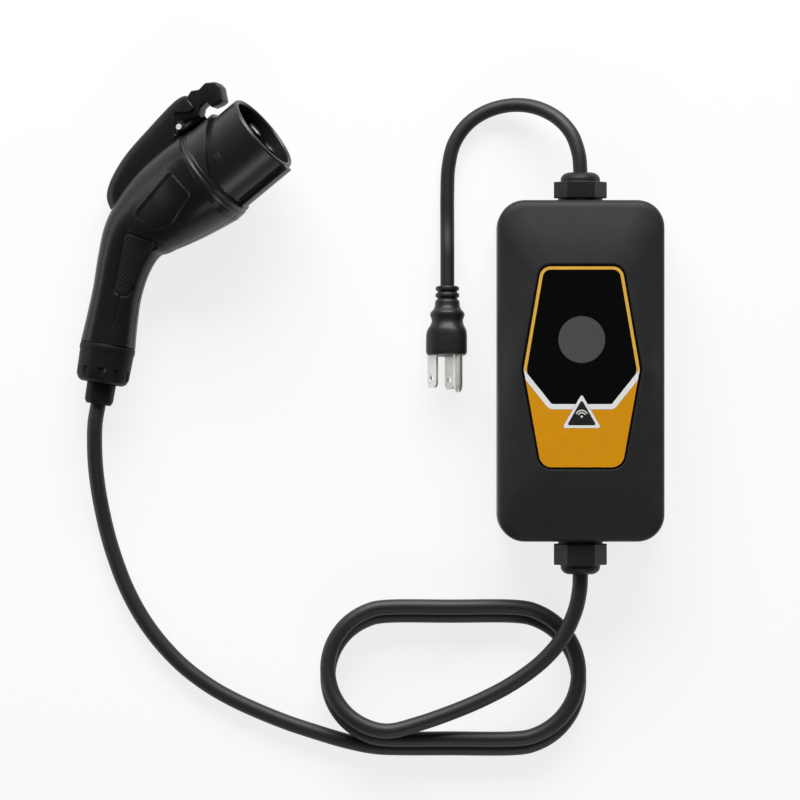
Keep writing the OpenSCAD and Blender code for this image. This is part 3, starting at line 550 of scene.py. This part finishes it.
@functools.cache
def station(t):
    """Centre, half height, half width and direction of the housing at a place along its spine."""
    reach, at_end = 0.05, 0.01
    x, z, high, wide = catmull(SPINE, t)
    before = catmull(SPINE, max(t - reach, 0))
    after = catmull(SPINE, min(t + reach, SPINE_END))
    flow = Vector((after[0] - before[0], after[1] - before[1])).normalized()
    if t < at_end:
        flow = Vector((-1, 0))
    if t > SPINE_END - at_end:
        flow = Vector((-GRIP_WAY.x, -GRIP_WAY.z))
    return x, z, high, wide, flow


def handle_skin(t, turn, depth, side, drop=0):
    """Point of the housing's skin at station t and angle turn, depth below the surface, on one side.

    drop takes it further down in the plane of the spine.
    """
    x, z, high, wide, flow = station(t)
    c, s = math.cos(turn), math.sin(turn)
    y = HALF_GAP + (wide - depth - HALF_GAP) * math.copysign(abs(c) ** SKIN_POWER, c)
    n = (high - depth) * math.copysign(abs(s) ** SKIN_POWER, s) - drop
    return Vector((x + flow.y * n, side * y, z - flow.x * n))


def outline_distance(p, corners):
    """Distance from p to a closed outline, below 0 inside it."""
    best = 1e9
    inside = False
    for (ax, ay), (bx, by) in zip(corners, corners[1:] + corners[:1]):
        ex, ey = bx - ax, by - ay
        wx, wy = p[0] - ax, p[1] - ay
        f = min(max((wx * ex + wy * ey) / (ex * ex + ey * ey), 0), 1)
        best = min(best, math.hypot(wx - ex * f, wy - ey * f))
        if (ay > p[1]) != (by > p[1]) and p[0] < ax + (p[1] - ay) / (by - ay) * (bx - ax):
            inside = not inside
    return -best if inside else best


def line_distance(p, a, b):
    """Distance from p to the line from a to b."""
    ex, ey = b[0] - a[0], b[1] - a[1]
    f = min(max(((p[0] - a[0]) * ex + (p[1] - a[1]) * ey) / (ex * ex + ey * ey), 0), 1)
    return math.hypot(p[0] - a[0] - ex * f, p[1] - a[1] - ey * f)


def groove(distance, width):
    """1 in the middle of a soft groove or ridge, towards 0 beside it."""
    return math.exp(-(distance / width) ** 2)


def lever_half(x):
    """Half width of the latch lever, narrower towards its tail."""
    full, narrowing, start = 6, 0.4, -44
    return full * (1 - narrowing * max((start - x) / (start - LEVER_TAIL), 0) ** 2.2)


def ring_turns(t):
    """Angles of a ring's points, and the index of the one on the outer edge of the lever's channel.

    They go up the flank to that edge, then on from the channel's inner edge to the middle of the back.
    """
    back = handle_skin(t, math.pi / 2, 0, 1)
    wide = station(t)[3]
    lever = lever_half(max(back.x, LEVER_TAIL))
    inner, outer = (math.acos(((lever + gap) / wide) ** (1 / SKIN_POWER)) for gap in CHANNEL)
    flank, across = 108, 12
    turns = [-math.pi / 2 + (outer + math.pi / 2) * j / flank for j in range(flank + 1)]
    return turns + [inner + (math.pi / 2 - inner) * j / across for j in range(across + 1)], flank


def channel_depth(t):
    """Depth of the channel on the housing's back that the lever's side walls sink into."""
    back = handle_skin(t, math.pi / 2, 0, 1)
    return (CHANNEL_ROOM + (PIN.x - back.x) * math.sin(LEVER_SWING)) * step(*CHANNEL_END, back.x)


def housing_depth(p, turn, t):
    """How far the housing's surface is sunk at a point, for its details."""
    depth = 0.0
    if abs(turn) < FLANK_TURN:
        # label field with a slightly raised rim
        label = outline_distance(p, LABEL) - LABEL_R
        depth += FIELD_SINK * (1 - step(-0.5, 0.5, label)) - 0.12 * groove(label - 0.9, 0.6)
        # bed of the grip's insert, in a groove that is shallower at its tip
        grip = outline_distance(p, GRIP) - GRIP_R
        rim = 0.25 + 0.65 * step(-74, -66, p[0])
        depth += rim * groove(grip - 0.2, 0.7) + 0.45 * (1 - step(-0.6, 0.4, grip))
        # line from the insert's tip towards the cap, where it fades
        depth += 0.55 * step(-90, -82, p[0]) * groove(line_distance(p, *SEAM), 0.55)
    # parting line, with the distance to it taken along a skin of this mean radius
    mean_radius = 18
    depth += 0.22 * groove((math.pi / 2 - abs(turn)) * mean_radius, 0.4)
    # edge at the collar
    depth += 0.5 * groove(t, 0.03)
    return depth


def housing_half(name, side, node):
    count = 230
    rings = []
    for t in (SPINE_END * k / count for k in range(count + 1)):
        turns, flank = ring_turns(t)
        channel = channel_depth(t)
        ring = []
        for j, turn in enumerate(turns):
            flat = handle_skin(t, turn, 0, side)
            depth = housing_depth((flat.x, flat.z), turn, t)
            ring.append(HANDLE @ handle_skin(t, turn, depth, side, channel if j > flank else 0))
        rings.append(ring)
    # wall thickness at both ends
    wall = 2.4
    for t, place in ((0, 0), (SPINE_END, len(rings))):
        rings.insert(place, [HANDLE @ handle_skin(t, turn, wall, side) for turn in ring_turns(t)[0]])
    obj = grid_object(name, rings, handle_plastic, closed=False)
    stand_for(obj, "handle_plastic", node)


housing_half("housing_right", -1, "handle_shell_right")
housing_half("housing_left", 1, "handle_shell_left")


def grip_insert(name, side, node):
    """Textured insert in the grip's field: a skin with rows of small raised ribs."""
    # stations of the insert's ends, and the skin's rows and columns
    first, last = 3.4, 7.3
    row_count, turn_count = 260, 150
    margin, rib_pitch, rib_height = 1.0, 1.1, 0.2
    turns = [FLANK_TURN * (2 * j / turn_count - 1) for j in range(turn_count + 1)]
    mesh = bmesh.new()
    rows = []
    for k in range(row_count + 1):
        t = first + (last - first) * k / row_count
        row = []
        for turn in turns:
            flat = handle_skin(t, turn, 0, side)
            place = (flat.x, flat.z)
            inside = margin - outline_distance(place, GRIP)
            along = Vector(place).dot(Vector((GRIP_WAY.x, GRIP_WAY.z)))
            across = Vector(place).dot(Vector((-GRIP_WAY.z, GRIP_WAY.x)))
            rib = max(math.sin(along * math.pi / rib_pitch) * math.sin(across * math.pi / rib_pitch), 0)
            raised = 0.22 + rib_height * rib ** 0.6 * step(0.5, 1.6, inside)
            depth = FIELD_SINK - raised * step(0.0, 0.7, inside)
            row.append((mesh.verts.new(HANDLE @ handle_skin(t, turn, depth, side) * MM), inside))
        rows.append(row)
    for a, b in zip(rows, rows[1:]):
        for j in range(len(turns) - 1):
            corner = (a[j], a[j + 1], b[j + 1], b[j])
            if min(c[1] for c in corner) > -0.3:
                mesh.faces.new([c[0] for c in corner])
    bmesh.ops.delete(mesh, geom=[v for v in mesh.verts if not v.link_faces], context="VERTS")
    obj = mesh_object(name, mesh, grip_rubber)
    stand_for(obj, "seal_rubber", node)


grip_insert("grip_insert_right", -1, "grip_pad_right")
grip_insert("grip_insert_left", 1, "grip_pad_left")


# Latch lever: a hollow thumb shell with a rounded back, and the hook in front of it
LEVER_BACK = [(LEVER_TAIL, 21.4), (-52.7, 24.6), (-51.7, 27.5), (-49.5, 30.1), (-45, 33.2), (-39, 36.1),
              (-32, 38.5), (-24, 40.3), (-14, 41.8), (-3, 43.4), (6.6, 44.4), (11.6, 44), (14.2, 42.8),
              (LEVER_FRONT, 40.8)]
LEVER_FOOT = [(LEVER_TAIL, 20.2), (-51.2, 19.6), (-48, 20.4), (-42, 22.2), (-34, 24.3), (-26, 25.4),
              (-17, 25.7), (-7, 25.5), (-3.5, 26.4), (-0.5, 27.4), (9, 26.9), (LEVER_FRONT, 27)]
# how square the lever's cross section is: 1 for an ellipse, less for a squarer one
LEVER_POWER = 0.72
# corners of the hook and of the sunk part of the lever's flank around the pin, each with its radius
HOOK = [((9, 28.9), 0.3), ((14, 28.6), 1.2), ((17.6, 31.6), -1.2), ((21.8, 32), -1), ((22.6, 27.8), 0.8),
        ((26.5, 26.6), 0.8), ((29.5, 26.6), 0.8), ((32.6, 33.6), 1.2), ((32.2, 37), 1.4), ((27.2, 40.4), 2),
        ((22.4, 39.8), -2), ((18.6, 42), 1.2), ((15, 40.8), 0.8), ((9, 40.2), 0.3)]
HOOK_HALF = 4.5
RECESS = [((4.8, 38.4), 1), ((-1.2, 28.6), 0.5), ((-1.2, 24), 0.5), ((18, 24), 0.5), ((18, 33), 0.5),
          ((11.9, 33), -1)]
RECESS_HALF = 4.7


def height_at(profile, x):
    """Height of a profile at x, along the smooth curve through its points."""
    points = fine([Vector(p) for p in profile], 8)
    for a, b in zip(points, points[1:]):
        if a.x <= x <= b.x:
            return a.y + (b.y - a.y) * (x - a.x) / max(b.x - a.x, 1e-9)
    return points[0].y if x < points[0].x else points[-1].y


def carve(obj, cutter):
    """Takes the cutter's shape out of a mesh object."""
    cut = obj.modifiers.new("carve", "BOOLEAN")
    cut.object = cutter
    cut.solver = "EXACT"
    done = obj.evaluated_get(bpy.context.evaluated_depsgraph_get())
    mesh = bpy.data.meshes.new_from_object(done)
    obj.modifiers.clear()
    old = obj.data
    obj.data = mesh
    bpy.data.meshes.remove(old)
    bpy.data.objects.remove(cutter)


def thumb_shell():
    wall, roof = 2.2, 2.6
    count, arc = 96, 48
    hole_r, hole_sides = 1.62, 32
    # past the lever's flanks
    clear_half = 9
    rings = []
    for k in range(count + 1):
        x = LEVER_TAIL + (LEVER_FRONT - LEVER_TAIL) * (0.5 - 0.5 * math.cos(math.pi * k / count))
        foot, back = height_at(LEVER_FOOT, x), height_at(LEVER_BACK, x)
        half = lever_half(x)
        tall = max(back - foot, 0.3)
        ring = []
        for size_y, size_z, turns in ((half, tall, range(arc + 1)),
                                      (half - wall, max(tall - roof, 0.05), range(arc, -1, -1))):
            for j in turns:
                c, s = math.cos(math.pi * j / arc), math.sin(math.pi * j / arc)
                y = size_y * math.copysign(abs(c) ** LEVER_POWER, c)
                ring.append(HANDLE @ Vector((x, y, foot + size_z * max(s, 0) ** LEVER_POWER)))
        rings.append(ring)
    obj = grid_object("latch_thumb", rings, lever_plastic, caps=(0, count))
    around = [2 * math.pi * j / hole_sides for j in range(hole_sides)]
    rod = [[HANDLE @ (PIN + Vector((hole_r * math.cos(a), y, hole_r * math.sin(a)))) for a in around]
           for y in (-clear_half, clear_half)]
    carve(obj, grid_object("rod", rod, lever_plastic, caps=(0, 1)))
    for side in (-1, 1):
        cutter = [[HANDLE @ Vector((p.x, side * y, p.y)) for p in outline(RECESS, 0, 12)]
                  for y in (RECESS_HALF, clear_half)]
        carve(obj, grid_object("cutter", cutter, lever_plastic, caps=(0, 1)))
    stand_for(obj, "handle_plastic", "latch_lever", body="latch")


def hook():
    # rounded edge: growth of the outline, and distance from the side
    edge = [(-0.9, 0), (-0.42, 0.12), (-0.12, 0.42), (0, 0.9)]
    levels = [(grow, y - HOOK_HALF) for grow, y in edge]
    levels += [(grow, HOOK_HALF - y) for grow, y in reversed(edge)]
    rings = [[HANDLE @ Vector((p.x, y, p.y)) for p in outline(HOOK, grow, 12)] for grow, y in levels]
    obj = grid_object("latch_hook", rings, hook_plastic, caps=(0, len(rings) - 1))
    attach(obj, "latch")


thumb_shell()
hook()


# Small raised mark on the barrel
def barrel_mark():
    barrel_r = 21.9
    left, right, low, high, corner_r = 12.1, 16.5, -4.2, -0.4, 0.6
    corners = [((x, z), corner_r) for x, z in ((right, high), (left, high), (left, low), (right, low))]
    rings = []
    for shrink, rise in ((0, -0.3), (0, 0.16), (0.12, 0.3), (0.3, 0.34)):
        ring = []
        for p in outline(corners, -shrink, 10):
            radius = barrel_r + rise
            ring.append(HANDLE @ Vector((p.x, -math.sqrt(radius ** 2 - p.y ** 2), p.y)))
        rings.append(ring)
    obj = grid_object("barrel_mark", rings, carrier_plastic, caps=(0, len(rings) - 1))
    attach(obj, "charger")


barrel_mark()


# CAD nodes that keep their shape get rounded edges of these widths
ROUNDED = {
    "end_cap": 0.5, "input_gland_nut": 0.5, "output_gland_nut": 0.5, "input_gland_body": 0.2,
    "output_gland_body": 0.2, "nose_barrel": 0.3, "nose_collar": 0.3, "plug_blades": 0.15,
    "plug_earth_pin": 0.1, "rear_cover": 0.8, "handle_strain_relief": 0.4, "contact_carrier": 0.25,
    "power_contacts": 0.15, "earth_contact": 0.15, "signal_contacts": 0.1, "indicator_lens": 0.15,
}
for node_name, width in ROUNDED.items():
    soften(node_name, width)


# Tap mark on the badge: two arcs above a dot
def tap_mark():
    data = bpy.data.curves.new("tap_mark", "CURVE")
    data.dimensions = "3D"
    data.bevel_depth = 0.28 * MM
    data.bevel_resolution = 2
    data.use_fill_caps = True
    middle = Vector((0, -23.6))
    height = CASE_H + 0.27
    # radius, and half of the arc in degrees
    for radius, half in ((3.2, 62), (2.0, 62), (0.35, 180)):
        spline = data.splines.new("POLY")
        count = 18
        spline.points.add(count)
        for k, point in enumerate(spline.points):
            turn = math.radians(90 - half + 2 * half * k / count)
            point.co = ((middle.x + radius * math.cos(turn)) * MM, (middle.y + radius * math.sin(turn)) * MM,
                        height * MM, 1)
    obj = bpy.data.objects.new("tap_mark", data)
    bpy.context.collection.objects.link(obj)
    paint(obj, white_print)
    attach(obj, "charger")


tap_mark()


# Floor and light
AIM_POINT = (-0.1, 0, 0)


def make_floor():
    """White floor that glows for the camera and in reflections, so that it stays white with a soft shadow."""
    bpy.ops.mesh.primitive_plane_add(size=6, location=(*AIM_POINT[:2], -0.0002))
    floor = bpy.context.object
    floor.name = "floor"
    mat, tree, shader = tree_of("floor_white")
    shader.inputs["Base Color"].default_value = (0.9, 0.9, 0.9, 1)
    shader.inputs["Roughness"].default_value = 0.9
    shader.inputs["Specular IOR Level"].default_value = 0.1
    glow = tree.nodes.new("ShaderNodeEmission")
    path = tree.nodes.new("ShaderNodeLightPath")
    seen = tree.nodes.new("ShaderNodeMath")
    seen.operation = "MAXIMUM"
    tree.links.new(path.outputs["Is Camera Ray"], seen.inputs[0])
    tree.links.new(path.outputs["Is Glossy Ray"], seen.inputs[1])
    share = tree.nodes.new("ShaderNodeMath")
    share.operation = "MULTIPLY"
    share.inputs[1].default_value = 0.8
    tree.links.new(seen.outputs["Value"], share.inputs[0])
    mix = tree.nodes.new("ShaderNodeMixShader")
    tree.links.new(share.outputs["Value"], mix.inputs["Fac"])
    tree.links.new(shader.outputs["BSDF"], mix.inputs[1])
    tree.links.new(glow.outputs["Emission"], mix.inputs[2])
    tree.links.new(mix.outputs["Shader"], tree.nodes["Material Output"].inputs["Surface"])
    paint(floor, mat)


def area_light(name, place, size, watts):
    """Rectangular light that faces the middle of the object."""
    data = bpy.data.lights.new(name, "AREA")
    data.shape = "RECTANGLE"
    data.size, data.size_y = size
    data.energy = watts
    lamp = bpy.data.objects.new(name, data)
    lamp.location = place
    lamp.rotation_euler = (Vector(AIM_POINT) - Vector(place)).to_track_quat("-Z", "Y").to_euler()
    bpy.context.collection.objects.link(lamp)


def make_light():
    area_light("key", (-0.15, 1.75, 1.0), (2.0, 1.0), 74)
    area_light("left", (-1.75, 0.1, 0.16), (1.8, 0.2), 5)
    area_light("low", (0.2, -1.5, 0.9), (1.2, 0.4), 6)
    world = bpy.data.worlds.new("studio")
    world.use_nodes = True
    background = world.node_tree.nodes["Background"]
    background.inputs["Color"].default_value = (1, 1, 1, 1)
    background.inputs["Strength"].default_value = 0.12
    bpy.context.scene.world = world
    bpy.context.scene.view_settings.view_transform = "Standard"


make_floor()
make_light()
